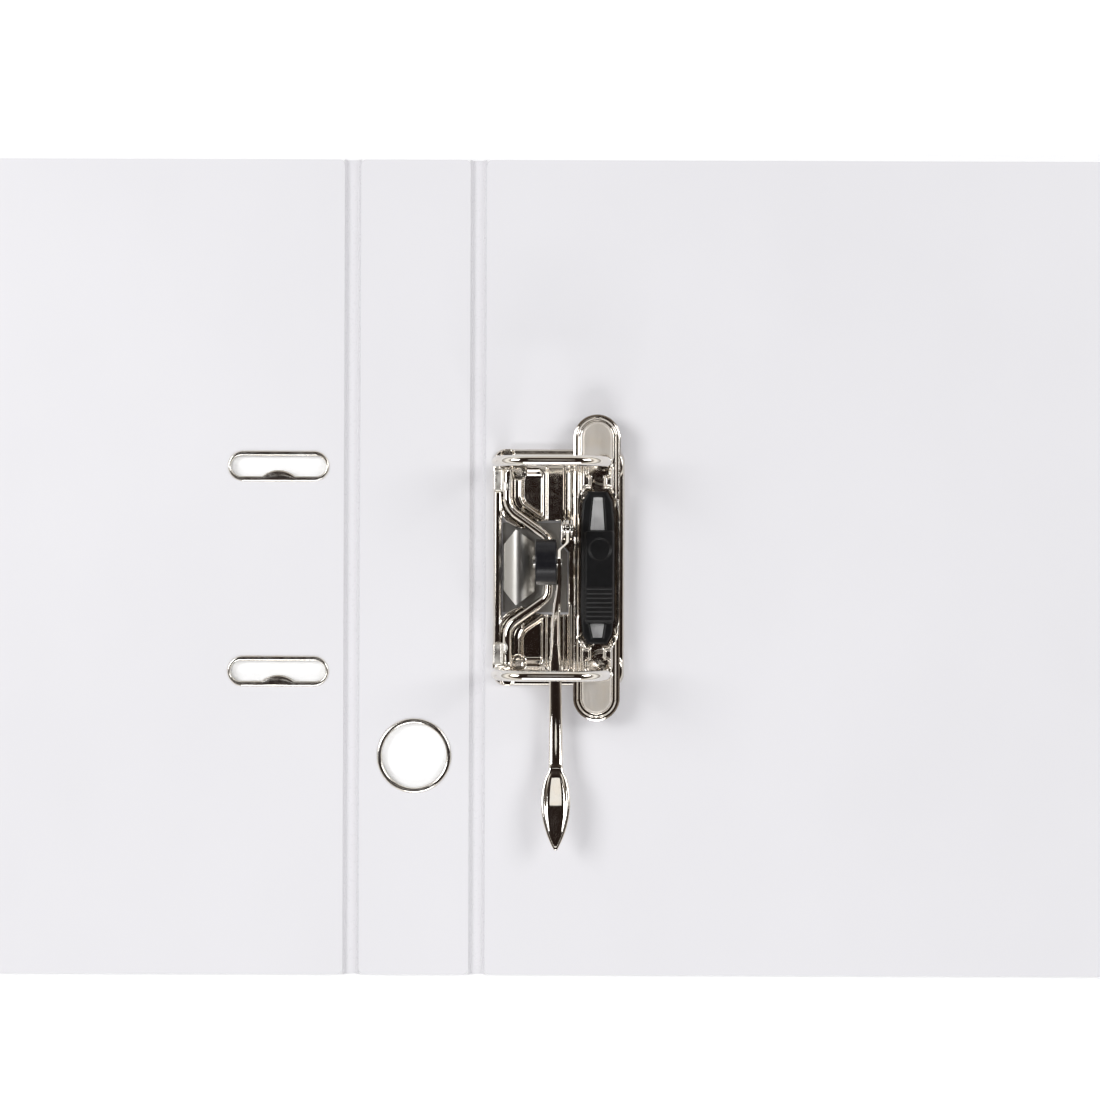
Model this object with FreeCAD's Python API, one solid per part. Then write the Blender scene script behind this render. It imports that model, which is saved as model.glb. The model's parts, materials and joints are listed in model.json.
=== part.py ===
import FreeCAD, Part
import math
import os

# A4 lever arch file, lying open and flat on its outside, all sizes in millimetres.
# X runs across the open file: front cover at -X, spine at 0, back cover at +X.
# Y runs along the spine towards the top of the file. Z is up, and 0 is the table.

V = FreeCAD.Vector

# ---------------------------------------------------------------- covers
FILE_HEIGHT = 318.0
COVER_WIDTH = 285.0
SPINE_WIDTH = 42.8          # flat spine board between the two hinge channels
CHANNEL = 6.3               # width of each hinge channel
FILM = 0.2                  # plastic film outside and lining inside
BOARD = 2.0                 # greyboard
CORNER = 2.0                # rounding of the covers' free corners
STRIP_THICK = 2 * FILM      # the two films welded together in the hinge
CREASE_GAP = 0.3            # panel edge to the edge of the hinge strip
T = 2 * FILM + BOARD        # whole thickness of a panel
SPINE_EDGE = SPINE_WIDTH / 2
COVER_EDGE = SPINE_EDGE + CHANNEL
HALF_HEIGHT = FILE_HEIGHT / 2

# ---------------------------------------------------------------- mechanism layout
XM = 53.2                   # middle of the mechanism from the middle of the spine
RING_PITCH = 80.0           # the two-hole filing standard
RING_Y = RING_PITCH / 2
WIRE_R = 2.0                # arches, axle and crank are one bent wire
ARCH_LEFT = -20.5           # arch legs, measured from the mechanism's middle
ARCH_RIGHT = 20.5
ARCH_TOP = 50.0
ARCH_BEND = 12.0
PARTING = 35.5              # height at which arch and post meet
PART_GAP = 0.12
AXLE_X = -16.9
AXLE_Z = 5.4
CRANK_X = -0.8
CRANK_Z = 6.0
CRANK_HALF = 11.5           # where the wire leaves the crank for the axle
CRANK_ROOT_Y = 23.0         # and where it reaches the axle's line

# ---------------------------------------------------------------- base plate
SHEET = 0.8
PLATE_X0 = -22.6
PLATE_X1 = 28.4
PLATE_HALF = 46.1
PLATE_TOP = T + 3.2
PLATE_SLOPE = 1.6
PLATE_CHAMFER = 4.0
GROOVE_FLOOR = T + 0.9
RIM_R = 1.3
RIM_END = 36.8
LEG_WAY = 3.0               # half width of the gap each arch leg swings into
RIM_X = -20.9
RIB_RISE = 1.4
PIN_R = 1.5
PIN_FIT = 0.06

# ---------------------------------------------------------------- lever and roller
PIVOT_Y = 15.2
PIVOT_Z = 25.05
ROLLER_R = 8.8
ROLLER_Y = 2.2
ROLLER_GAP = 0.45
ROLLER_Z = CRANK_Z + WIRE_R + ROLLER_GAP + ROLLER_R
ROLLER_X0 = -6.0
ROLLER_X1 = 2.1
LUG_LEFT = 4.7
LUG_RIGHT = 7.4
LUG_SHEET = 0.75
LUG_R = 3.3

# ---------------------------------------------------------------- compressor
BAR_MIDDLE = 17.7
BAR_HALF_WIDE = 9.0
BAR_HALF = 59.2
BAR_BOTTOM = 10.0
BAR_TOP = 15.2
BAR_SHEET = 0.8
BAR_STEPS = [(0.0, 12.9), (1.3, 13.1), (1.9, 13.9), (2.9, 14.1), (3.8, BAR_TOP)]    # inset, height
HOLE_R = 2.5

# ---------------------------------------------------------------- eyelets
SLOT_X = -XM
SLOT_SHIFT = -0.8           # slots sit below the arches' plane, so the nose clears them
SLOT_LEN = 36.9
SLOT_WIDE = 7.7
SLOT_RIM_LEN = 39.8
SLOT_RIM_WIDE = 12.2
NOSE_CHORD = 12.9
NOSE_RISE = 2.3
RIM_PROUD = 0.8
NECK = 0.5
FLANGE = 0.4
FINGER_Y = -73.6
FINGER_R = 12.5
FINGER_RIM_R = 14.65
RIVET_R = 2.0
RIVET_HEAD_R = 4.2
RIVET_HEAD = 0.5
RIVETS = [(-12.6, 37.2), (-12.6, -37.2), (14.0, 28.0), (14.0, -28.0)]


def box(x0, x1, y0, y1, z0, z1):
    """Solid box from its six faces."""
    return Part.makeBox(x1 - x0, y1 - y0, z1 - z0, V(x0, y0, z0))


def rod(radius, start, end):
    """Round bar between two points."""
    axis = V(*end) - V(*start)
    return Part.makeCylinder(radius, axis.Length, V(*start), axis)


def prism(points, z0, z1):
    """Polygon in plan, from z0 up to z1."""
    ring = [V(x, y, z0) for x, y in points]
    return Part.Face(Part.makePolygon(ring + ring[:1])).extrude(V(0, 0, z1 - z0))


def side_prism(points, x0, x1):
    """Polygon seen from the side (Y, Z), from x0 to x1."""
    ring = [V(x0, y, z) for y, z in points]
    return Part.Face(Part.makePolygon(ring + ring[:1])).extrude(V(x1 - x0, 0, 0))


def end_prism(points, y0, y1):
    """Polygon seen from the end (X, Z), from y0 to y1."""
    ring = [V(x, y0, z) for x, z in points]
    return Part.Face(Part.makePolygon(ring + ring[:1])).extrude(V(0, y1 - y0, 0))


def taper(low, high, z0, z1):
    """Straight-sided loft between two plan polygons."""
    wires = []
    for points, z in ((low, z0), (high, z1)):
        ring = [V(x, y, z) for x, y in points]
        wires.append(Part.makePolygon(ring + ring[:1]))
    return Part.makeLoft(wires, True, True)


def stadium(length, width, cx, cy, z0, z1):
    """Long round-ended block, its length along X."""
    r = width / 2
    half = length / 2 - r
    low = V(cx - half, cy - r, z0)
    edges = [
        Part.LineSegment(low, V(cx + half, cy - r, z0)).toShape(),
        Part.Arc(V(cx + half, cy - r, z0), V(cx + half + r, cy, z0), V(cx + half, cy + r, z0)).toShape(),
        Part.LineSegment(V(cx + half, cy + r, z0), V(cx - half, cy + r, z0)).toShape(),
        Part.Arc(V(cx - half, cy + r, z0), V(cx - half - r, cy, z0), low).toShape(),
    ]
    return Part.Face(Part.Wire(edges)).extrude(V(0, 0, z1 - z0))


def chamfered(x0, x1, y0, y1, cut):
    """Plan rectangle with its four corners cut off."""
    return [(x0 + cut, y0), (x1 - cut, y0), (x1, y0 + cut), (x1, y1 - cut),
            (x1 - cut, y1), (x0 + cut, y1), (x0, y1 - cut), (x0, y0 + cut)]


def mirrored(shape):
    """The shape and its mirror image across Y = 0."""
    return [shape, shape.mirror(V(0, 0, 0), V(0, 1, 0))]


def joined(shapes):
    """One solid from touching or overlapping shapes."""
    return shapes[0].multiFuse(shapes[1:]).removeSplitter()


def less(shape, cutters):
    """The shape with every cutter taken away."""
    for cutter in cutters:
        shape = shape.cut(cutter)
    return shape


def to_mechanism(shape):
    """Move a piece from the mechanism's own middle to its place on the back cover."""
    moved = shape.copy()
    moved.translate(V(XM, 0, 0))
    return moved


def save(name, shape):
    """Write one node and say what it holds."""
    solids = len(shape.Solids)
    assert shape.isValid() and solids, name
    shape.exportStep("parts/%s.step" % name)
    print("%-22s %2d solid(s) %10.1f mm3" % (name, solids, shape.Volume))


def filleted_path(points, radii):
    """Wire through points, each inner corner rounded to its own radius."""
    pts = [V(*p) for p in points]
    edges = []
    last = pts[0]
    for i in range(1, len(pts) - 1):
        into = (pts[i] - pts[i - 1]).normalize()
        out = (pts[i + 1] - pts[i]).normalize()
        turn = into.getAngle(out)
        reach = radii[i - 1] * math.tan(turn / 2)
        start = pts[i] - into * reach
        end = pts[i] + out * reach
        bisect = (out - into).normalize()
        centre = pts[i] + bisect * (radii[i - 1] / math.cos(turn / 2))
        middle = centre - bisect * radii[i - 1]
        edges.append(Part.LineSegment(last, start).toShape())
        edges.append(Part.Arc(start, middle, end).toShape())
        last = end
    edges.append(Part.LineSegment(last, pts[-1]).toShape())
    return Part.Wire(edges)


# ================================================================ covers and spine

def panel(x0, x1):
    """Film tray, board and lining of one panel, in that order."""
    def block(inset, z0, z1):
        solid = box(x0 + inset, x1 - inset, inset - HALF_HEIGHT, HALF_HEIGHT - inset, z0, z1)
        upright = [e for e in solid.Edges if abs(e.BoundBox.ZLength - (z1 - z0)) < 1e-6]
        return solid.makeFillet(CORNER - inset, upright)
    film = block(0, 0, T).cut(block(FILM, FILM, T + FILM))
    board = block(FILM, FILM, FILM + BOARD)
    lining = block(FILM, FILM + BOARD, T)
    return [film, board, lining]


def hinge_strip(side):
    """Flexible channel between spine and cover; side is -1 for the front."""
    inner = side * (SPINE_EDGE + CREASE_GAP)
    outer = side * (COVER_EDGE - CREASE_GAP)
    return box(min(inner, outer), max(inner, outer), -HALF_HEIGHT, HALF_HEIGHT, 0, STRIP_THICK)


def slot_outline(cy, grow, z0, z1):
    """The eyelet's opening with its nose left standing, enlarged by grow."""
    opening = stadium(SLOT_LEN + 2 * grow, SLOT_WIDE + 2 * grow, SLOT_X, cy, z0, z1)
    half = NOSE_CHORD / 2
    radius = (half ** 2 + NOSE_RISE ** 2) / (2 * NOSE_RISE)
    nose_y = cy - SLOT_WIDE / 2 + NOSE_RISE - radius
    nose = Part.makeCylinder(radius - grow, z1 - z0, V(SLOT_X, nose_y, z0))
    return opening.cut(nose)


def slot_cutters(cy):
    """What a cover loses for one slot: the neck's hole and the outer flange's seat."""
    return [slot_outline(cy, NECK, -1, T + 1),
            stadium(SLOT_RIM_LEN, SLOT_RIM_WIDE, SLOT_X, cy, -1, FLANGE)]


def slot_eyelet(cy):
    """Inner half of a slot eyelet: rounded rim on the lining and neck down to the flange."""
    rim = stadium(SLOT_RIM_LEN, SLOT_RIM_WIDE, SLOT_X, cy, T, T + RIM_PROUD)
    crown = [e for e in rim.Edges if e.BoundBox.ZMin > T + RIM_PROUD - 1e-6]
    rim = rim.makeFillet(RIM_PROUD * 0.75, crown)
    neck = slot_outline(cy, NECK, FLANGE, T)
    return joined([rim, neck]).cut(slot_outline(cy, 0, -1, T + 2))


def slot_backing(cy):
    """Outer half of a slot eyelet: flat flange let into the cover's outside."""
    flange = stadium(SLOT_RIM_LEN, SLOT_RIM_WIDE, SLOT_X, cy, 0, FLANGE)
    return flange.cut(slot_outline(cy, 0, -1, T))


def finger_cutters():
    """What the spine loses for the finger ring."""
    return [Part.makeCylinder(FINGER_R + NECK, T + 2, V(0, FINGER_Y, -1)),
            Part.makeCylinder(FINGER_RIM_R, 1 + FLANGE, V(0, FINGER_Y, -1))]


def finger_ring_inner():
    """Finger ring's rounded rim on the lining, with the neck through the spine."""
    rim = Part.makeCylinder(FINGER_RIM_R, RIM_PROUD, V(0, FINGER_Y, T))
    crown = [e for e in rim.Edges if e.BoundBox.ZMin > T + RIM_PROUD - 1e-6]
    rim = rim.makeFillet(RIM_PROUD * 0.75, crown)
    neck = Part.makeCylinder(FINGER_R + NECK, BOARD + 2 * FILM - FLANGE, V(0, FINGER_Y, FLANGE))
    return joined([rim, neck]).cut(Part.makeCylinder(FINGER_R, T + 4, V(0, FINGER_Y, -1)))


def finger_ring_outer():
    """Finger ring's flat flange let into the spine's outside."""
    flange = Part.makeCylinder(FINGER_RIM_R, FLANGE, V(0, FINGER_Y, 0))
    return flange.cut(Part.makeCylinder(FINGER_R, T, V(0, FINGER_Y, -1)))


def rivet_cutters():
    """Rivet holes and head seats in the back cover."""
    cutters = []
    for x, y in RIVETS:
        cutters.append(Part.makeCylinder(RIVET_R, T + 2, V(XM + x, y, -1)))
        cutters.append(Part.makeCylinder(RIVET_HEAD_R, 1 + RIVET_HEAD, V(XM + x, y, -1)))
    return cutters


# ================================================================ base plate

CUTOUT = [(-19.2, 29.0), (-12.2, 29.0), (-9.8, 22.8), (-2.8, 18.2), (3.9, 18.2), (3.9, 9.5), (6.8, 6.0),
          (6.8, -18.2), (-2.8, -18.2), (-9.8, -22.8), (-12.2, -29.0), (-19.2, -29.0)]
PAN_X0 = -11.4
PAN_X1 = -3.2
PAN_Y0 = 20.5
PAN_Y1 = 38.2
PAN_FLOOR = PLATE_TOP - 1.7
PAN_CHAMFER = 2.6
RIB_X0 = -1.9
RIB_X1 = 5.4
RIB_Y0 = 19.0
RIB_Y1 = 39.0
DISH_R = 3.2
BOSS_R = 8.1
BOSS_RISE = 0.7


def plate_envelope(skin):
    """Top surface of the plate as a solid, drawn in by skin; the sheet lies between two."""
    low = chamfered(PLATE_X0 + skin, PLATE_X1 - skin, skin - PLATE_HALF, PLATE_HALF - skin, PLATE_CHAMFER)
    rim = PLATE_SLOPE + skin
    high = chamfered(PLATE_X0 + rim, PLATE_X1 - rim, rim - PLATE_HALF, PLATE_HALF - rim,
                     PLATE_CHAMFER - 0.6)
    body = taper(low, high, T, PLATE_TOP - skin)
    ribs = mirrored(taper(chamfered(RIB_X0 + skin, RIB_X1 - skin, RIB_Y0 + skin, RIB_Y1 - skin, 1.0),
                          chamfered(RIB_X0 + 0.8 + skin, RIB_X1 - 0.8 - skin,
                                    RIB_Y0 + skin, RIB_Y1 - 1.6 - skin, 0.8),
                          PLATE_TOP - skin - 0.4, PLATE_TOP + RIB_RISE - skin))
    bosses = mirrored(Part.makeCylinder(BOSS_R - skin, BOSS_RISE + 1.0,
                                        V(ARCH_RIGHT, RING_Y, PLATE_TOP - 1.0 - skin)))
    keep = box(PLATE_X0 + skin, PLATE_X1 + 0.3 - skin, skin - PLATE_HALF, PLATE_HALF - skin, T, 30)
    bosses = [b.common(keep) for b in bosses]
    pans = mirrored(taper(chamfered(PAN_X0 + 1.2 - skin, PAN_X1 - 1.2 + skin, PAN_Y0 - skin,
                                    PAN_Y1 - 1.6 + skin, PAN_CHAMFER),
                          chamfered(PAN_X0 - skin, PAN_X1 + skin, PAN_Y0 - 1.2 - skin,
                                    PAN_Y1 + skin, PAN_CHAMFER),
                          PAN_FLOOR - skin, PLATE_TOP + 0.4))
    dishes = []
    for x, y in RIVETS:
        dishes.append(Part.makeCone(DISH_R - 0.9 + skin, DISH_R + skin, PLATE_TOP - GROOVE_FLOOR + skin,
                                    V(x, y, GROOVE_FLOOR - skin)))
    grooves = mirrored(box(AXLE_X - 2.4 - skin, AXLE_X + 2.4 + skin, 26.0, 43.2 + skin,
                           GROOVE_FLOOR - skin, PLATE_TOP + 1))
    leg_ways = mirrored(box(PLATE_X0 - 2, AXLE_X, RING_Y - LEG_WAY - skin, RING_Y + LEG_WAY + skin,
                            GROOVE_FLOOR - skin, PLATE_TOP + 1))
    return less(joined([body] + ribs + bosses), pans + dishes + grooves + leg_ways)


def bearing_strap():
    """Strap curled over the axle, joined to the rim beside it."""
    y0 = 30.0
    y1 = 36.2
    outer = rod(WIRE_R + PIN_FIT + SHEET, (AXLE_X, y0, AXLE_Z), (AXLE_X, y1, AXLE_Z))
    root = box(RIM_X, AXLE_X, y0, y1, AXLE_Z - 0.8, AXLE_Z + WIRE_R + PIN_FIT + SHEET - 0.35)
    strap = joined([outer, root])
    strap = strap.common(box(RIM_X, AXLE_X + 1.7, y0, y1, GROOVE_FLOOR - SHEET, 20))
    return strap.cut(rod(WIRE_R + PIN_FIT, (AXLE_X, y0 - 1, AXLE_Z), (AXLE_X, y1 + 1, AXLE_Z)))


def lug(x0):
    """One cheek of the lever's bracket, bent up from the plate."""
    cheek = side_prism([(PIVOT_Y - LUG_R, PLATE_TOP - 0.5), (PIVOT_Y + 7.5, PLATE_TOP - 0.5),
                        (PIVOT_Y + LUG_R, PIVOT_Z), (PIVOT_Y - LUG_R, PIVOT_Z)], x0, x0 + LUG_SHEET)
    crown = rod(LUG_R, (x0, PIVOT_Y, PIVOT_Z), (x0 + LUG_SHEET, PIVOT_Y, PIVOT_Z))
    return joined([cheek, crown])


def base_plate():
    """Pressed steel plate with rim, grooves, ribs, straps and the lever's bracket."""
    below = box(PLATE_X0 - 1, PLATE_X1 + 1, -PLATE_HALF - 1, PLATE_HALF + 1, 0, T + 0.01)
    sheet = plate_envelope(0).cut(plate_envelope(SHEET)).cut(below)
    rim = end_prism([(RIM_X - RIM_R, PLATE_TOP - 0.6), (RIM_X + RIM_R, PLATE_TOP - 0.6),
                     (RIM_X + RIM_R * 0.8, PLATE_TOP + 0.6), (RIM_X, PLATE_TOP + 1.0),
                     (RIM_X - RIM_R * 0.8, PLATE_TOP + 0.6)], -RIM_END, RIM_END)
    straps = mirrored(bearing_strap())
    plate = joined([sheet.cut(prism(CUTOUT, 0, PLATE_TOP + 4)), rim] + straps
                   + [lug(LUG_LEFT), lug(LUG_RIGHT)])
    holes = [rod(PIN_R, (0, PIVOT_Y, PIVOT_Z), (12, PIVOT_Y, PIVOT_Z))]
    holes += [Part.makeCylinder(RIVET_R, 20, V(x, y, 0)) for x, y in RIVETS]
    holes += mirrored(Part.makeCylinder(WIRE_R, 20, V(ARCH_RIGHT, RING_Y, 0)))
    return less(plate, holes)


def rivet(x, y):
    """Flat outer head, shank through cover and plate, and the set head in its dish."""
    head = Part.makeCylinder(RIVET_HEAD_R, RIVET_HEAD, V(x, y, 0))
    shank = Part.makeCylinder(RIVET_R, GROOVE_FLOOR, V(x, y, 0))
    set_head = Part.makeCone(RIVET_R + 0.2, RIVET_R - 0.6, 0.8, V(x, y, GROOVE_FLOOR))
    return joined([head, shank, set_head])


def post(side):
    """Fixed filing post with a collar under the sheet and a pointed tip for the arch."""
    y = side * RING_Y
    top = PARTING - PART_GAP
    shaft = Part.makeCylinder(WIRE_R, top - T, V(ARCH_RIGHT, y, T))
    collar = Part.makeCylinder(WIRE_R + 1.6, 1.2, V(ARCH_RIGHT, y, T + 0.05))
    tip = Part.makeCone(1.2, 0.2, 1.0, V(ARCH_RIGHT, y, top))
    return joined([shaft, collar, tip])


# ================================================================ moving metal

def arch_wire():
    """Both arches, the axle and the crank, bent from one wire."""
    def half(side):
        y = side * RING_Y
        return [(ARCH_RIGHT, y, PARTING), (ARCH_RIGHT, y, ARCH_TOP), (ARCH_LEFT, y, ARCH_TOP),
                (ARCH_LEFT, y, 16.0), (AXLE_X, y, AXLE_Z), (AXLE_X, side * CRANK_ROOT_Y, AXLE_Z),
                (CRANK_X, side * CRANK_HALF, CRANK_Z)]
    radii = [ARCH_BEND, ARCH_BEND, 6.0, 3.2, 8.0, 6.0]
    path = filleted_path(half(1) + half(-1)[::-1], radii + radii[::-1])
    profile = Part.Wire(Part.Circle(V(ARCH_RIGHT, RING_Y, PARTING), V(0, 0, 1), WIRE_R).toShape())
    wire = path.makePipeShell([profile], True, False)
    sockets = mirrored(Part.makeCone(1.45, 0.35, 1.1, V(ARCH_RIGHT, RING_Y, PARTING)))
    return less(wire, sockets)


ARM = [  # along Y: middle X, width, middle Z, height
    (-5.0, 3.3, 1.6, 16.6, 3.4),
    (-16.0, 2.2, 3.0, 14.6, 3.4),
    (-29.0, 1.5, 3.8, 11.4, 3.0),
    (-42.0, 1.2, 4.4, 10.0, 2.6),
    (-56.0, 1.3, 4.8, 10.0, 2.4),
    (-69.0, 1.5, 5.2, 11.0, 2.4),
    (-80.0, 1.5, 6.6, 12.8, 2.2),
]
PAD_X = 1.5
PAD_Y0 = -77.0
PAD_Y1 = -108.4
PAD_WIDE = 11.0
PAD_THICK = 2.4
PAD_Z = 11.6
PAD_TILT = 7.0
PAD_RIM = 1.1
PAD_DISH = 0.6


def arm_section(y, x, width, z, height):
    """Rounded bar section in the XZ plane."""
    r = min(width, height) * 0.38
    w = width / 2
    h = height / 2
    k = r * (1 - math.sqrt(0.5))
    corners = ((1, 1), (-1, 1), (-1, -1), (1, -1))
    edges = []
    for i, (sx, sz) in enumerate(corners):
        ends = [V(x + sx * w, y, z + sz * (h - r)), V(x + sx * (w - r), y, z + sz * h)]
        if i % 2:
            ends.reverse()
        middle = V(x + sx * (w - k), y, z + sz * (h - k))
        edges.append(Part.Arc(ends[0], middle, ends[1]).toShape())
        nx, nz = corners[(i + 1) % 4]
        if i % 2:
            after = V(x + nx * w, y, z + nz * (h - r))
        else:
            after = V(x + nx * (w - r), y, z + nz * h)
        edges.append(Part.LineSegment(ends[1], after).toShape())
    return Part.Wire(edges)


def pad_block(inset, z0, z1):
    """Pointed oval of the thumb pad, drawn in by inset, flat before it is tilted."""
    y0 = PAD_Y0 - inset * 2
    y1 = PAD_Y1 + inset * 2
    middle = (y0 + y1) / 2
    half = PAD_WIDE / 2 - inset
    tip = 1.6
    pts = [V(PAD_X - tip, y0, z0), V(PAD_X - half, middle, z0), V(PAD_X - tip, y1, z0),
           V(PAD_X, y1 - 0.5, z0), V(PAD_X + tip, y1, z0), V(PAD_X + half, middle, z0),
           V(PAD_X + tip, y0, z0), V(PAD_X, y0 + 0.5, z0)]
    edges = [Part.Arc(pts[i], pts[i + 1], pts[(i + 2) % 8]).toShape() for i in range(0, 8, 2)]
    return Part.Face(Part.Wire(edges)).extrude(V(0, 0, z1 - z0))


def thumb_pad():
    """Dished thumb pad, tipped up towards its end."""
    pad = pad_block(0, PAD_Z, PAD_Z + PAD_THICK)
    crown = [e for e in pad.Edges if e.BoundBox.ZMin > PAD_Z + PAD_THICK - 1e-6]
    pad = pad.makeFillet(0.5, crown)
    pad = pad.cut(pad_block(PAD_RIM, PAD_Z + PAD_THICK - PAD_DISH, PAD_Z + PAD_THICK + 1))
    pad.rotate(V(PAD_X, PAD_Y0, PAD_Z), V(1, 0, 0), -PAD_TILT)
    return pad


def lever():
    """Pressed cheek with the pivot and roller eyes, arm, and thumb pad."""
    plan = prism([(5.7, 19.5), (7.2, 19.5), (7.2, 9.6), (4.1, 6.5), (4.1, -14.0), (2.6, -14.0),
                  (2.6, 7.1), (5.7, 10.2)], 5, 40)
    outline = side_prism([(PIVOT_Y, PIVOT_Z + 3.2), (ROLLER_Y, ROLLER_Z + 3.4), (-14.0, 17.0),
                          (-14.0, 13.6), (ROLLER_Y, ROLLER_Z - 3.2), (PIVOT_Y, PIVOT_Z - 3.2)], 2, 8)
    eye = rod(3.2, (2, PIVOT_Y, PIVOT_Z), (8, PIVOT_Y, PIVOT_Z))
    cheek = joined([outline, eye]).common(plan)
    arm = Part.makeLoft([arm_section(*row) for row in ARM], True, False)
    body = joined([cheek, arm, thumb_pad()])
    return less(body, [rod(PIN_R + PIN_FIT, (2, PIVOT_Y, PIVOT_Z), (9, PIVOT_Y, PIVOT_Z)),
                       rod(PIN_R, (0, ROLLER_Y, ROLLER_Z), (9, ROLLER_Y, ROLLER_Z))])


def pivot_pin():
    """Riveted pin through both cheeks of the bracket."""
    pin = rod(PIN_R, (LUG_LEFT - 0.3, PIVOT_Y, PIVOT_Z), (LUG_RIGHT + LUG_SHEET + 0.15, PIVOT_Y, PIVOT_Z))
    head = rod(PIN_R + 0.7, (LUG_LEFT - 0.5, PIVOT_Y, PIVOT_Z), (LUG_LEFT, PIVOT_Y, PIVOT_Z))
    return joined([pin, head])


def roller():
    """Moulded roller with two shallow grooves and sunk faces."""
    body = rod(ROLLER_R, (ROLLER_X0, ROLLER_Y, ROLLER_Z), (ROLLER_X1, ROLLER_Y, ROLLER_Z))
    rims = [e for e in body.Edges if e.BoundBox.XLength < 1e-6]
    body = body.makeFillet(0.5, rims)
    bore = rod(PIN_R + PIN_FIT, (-9, ROLLER_Y, ROLLER_Z), (6, ROLLER_Y, ROLLER_Z))
    sink = rod(ROLLER_R - 2.2, (ROLLER_X0 - 1, ROLLER_Y, ROLLER_Z), (ROLLER_X0 + 0.5, ROLLER_Y, ROLLER_Z))
    hub = rod(PIN_R + 1.6, (ROLLER_X0 - 1, ROLLER_Y, ROLLER_Z), (ROLLER_X0 + 0.5, ROLLER_Y, ROLLER_Z))
    return less(body, [sink.cut(hub), bore])


def roller_pin():
    """Headed pin that carries the roller, set in the lever's cheek."""
    pin = rod(PIN_R, (ROLLER_X0 - 0.2, ROLLER_Y, ROLLER_Z), (4.1, ROLLER_Y, ROLLER_Z))
    head = rod(PIN_R + 0.9, (ROLLER_X0 - 0.9, ROLLER_Y, ROLLER_Z), (ROLLER_X0 - 0.1, ROLLER_Y, ROLLER_Z))
    washer = rod(PIN_R + 0.9, (ROLLER_X1 + 0.1, ROLLER_Y, ROLLER_Z), (2.6, ROLLER_Y, ROLLER_Z))
    return joined([pin, head, washer])


# ================================================================ springs

LEAF = 0.5
SPRING_HEX = [(-13.6, 14.8), (-6.2, 9.2), (-6.2, -9.2), (-13.6, -14.8), (-18.6, -8.6), (-18.6, 8.6)]
BOW = [(-18.7, 4.4), (-16.6, 6.6), (-13.4, 7.9), (-10.0, 7.0), (-6.1, 4.2)]


def lower_leaf():
    """Flat leaf that closes the plate's cut-out from below."""
    leaf = prism([(-18.8, 17.4), (-3.2, 17.4), (3.5, 17.4), (3.5, 9.2), (6.4, 5.8), (6.4, -17.4),
                  (-18.8, -17.4)], T + 0.02, T + 0.02 + LEAF)
    return leaf


def upper_leaf():
    """Bowed six-sided leaf beside the roller, with its tongue under the crank."""
    outer = list(BOW)
    inner = [(x, z - LEAF) for x, z in reversed(BOW)]
    bowed = end_prism(outer + inner, -16, 16).common(prism(SPRING_HEX, 0, 12))
    tongue = box(-6.6, 1.0, -4.0, 4.0, BOW[-1][1] - LEAF, BOW[-1][1] - 0.25)
    tongue = tongue.common(box(-6.6, 1.0, -4.0, 4.0, 0, CRANK_Z - WIRE_R - 0.05))
    foot = box(-18.6, -17.8, -8.6, 8.6, T + 0.02 + LEAF, BOW[0][1] + 0.2)
    return joined([bowed, tongue, foot])


# ================================================================ compressor

OPENING = [(13.6, 30.8), (22.3, 30.8), (24.9, 22.5), (24.9, -22.5), (22.3, -30.8), (13.6, -30.8),
           (10.9, -22.5), (10.9, 22.5)]
BLOCK_X0 = 12.8
BLOCK_X1 = 24.4
BLOCK_Y0 = -21.4
BLOCK_Y1 = 14.4
BLOCK_TOP = BAR_TOP + 1.0
CARRIER_TOP = BAR_TOP - 0.3
CARRIER_LOW = BAR_BOTTOM + 1.6
RIB_COUNT = 8
RIB_PITCH = 1.74


def bar_block(skin):
    """The bar's stepped section run along Y and swept round both ends, drawn in by skin."""
    low = BAR_BOTTOM - (1.0 if skin else 0.0)
    wide = BAR_HALF_WIDE - skin
    side = [(wide, low)] + [(wide - inset, z - skin) for inset, z in BAR_STEPS]
    end_y = BAR_HALF - BAR_HALF_WIDE
    middle = end_prism([(BAR_MIDDLE + x, z) for x, z in side]
                       + [(BAR_MIDDLE - x, z) for x, z in reversed(side)], -end_y, end_y)
    ring = [V(BAR_MIDDLE, end_y, low)] + [V(BAR_MIDDLE + x, end_y, z) for x, z in side]
    ring += [V(BAR_MIDDLE, end_y, side[-1][1]), ring[0]]
    end = Part.Face(Part.makePolygon(ring)).revolve(V(BAR_MIDDLE, end_y, 0), V(0, 0, 1), 180)
    return joined([middle] + mirrored(end))


def compressor_bar():
    """Pressed bar with half-round ends that slides on the two posts."""
    shell = bar_block(0).cut(bar_block(BAR_SHEET))
    post_hole = joined([Part.makeCylinder(HOLE_R, 40, V(ARCH_RIGHT, RING_Y, 0)),
                        prism([(14.2, 34.8), (22.6, 34.8), (22.6, 39.4), (14.2, 39.4)], 0, 40),
                        box(16.2, 19.8, 30.0, 35.0, 0, 40)])
    return less(shell, [prism(OPENING, 0, 40)] + mirrored(post_hole))


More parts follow.
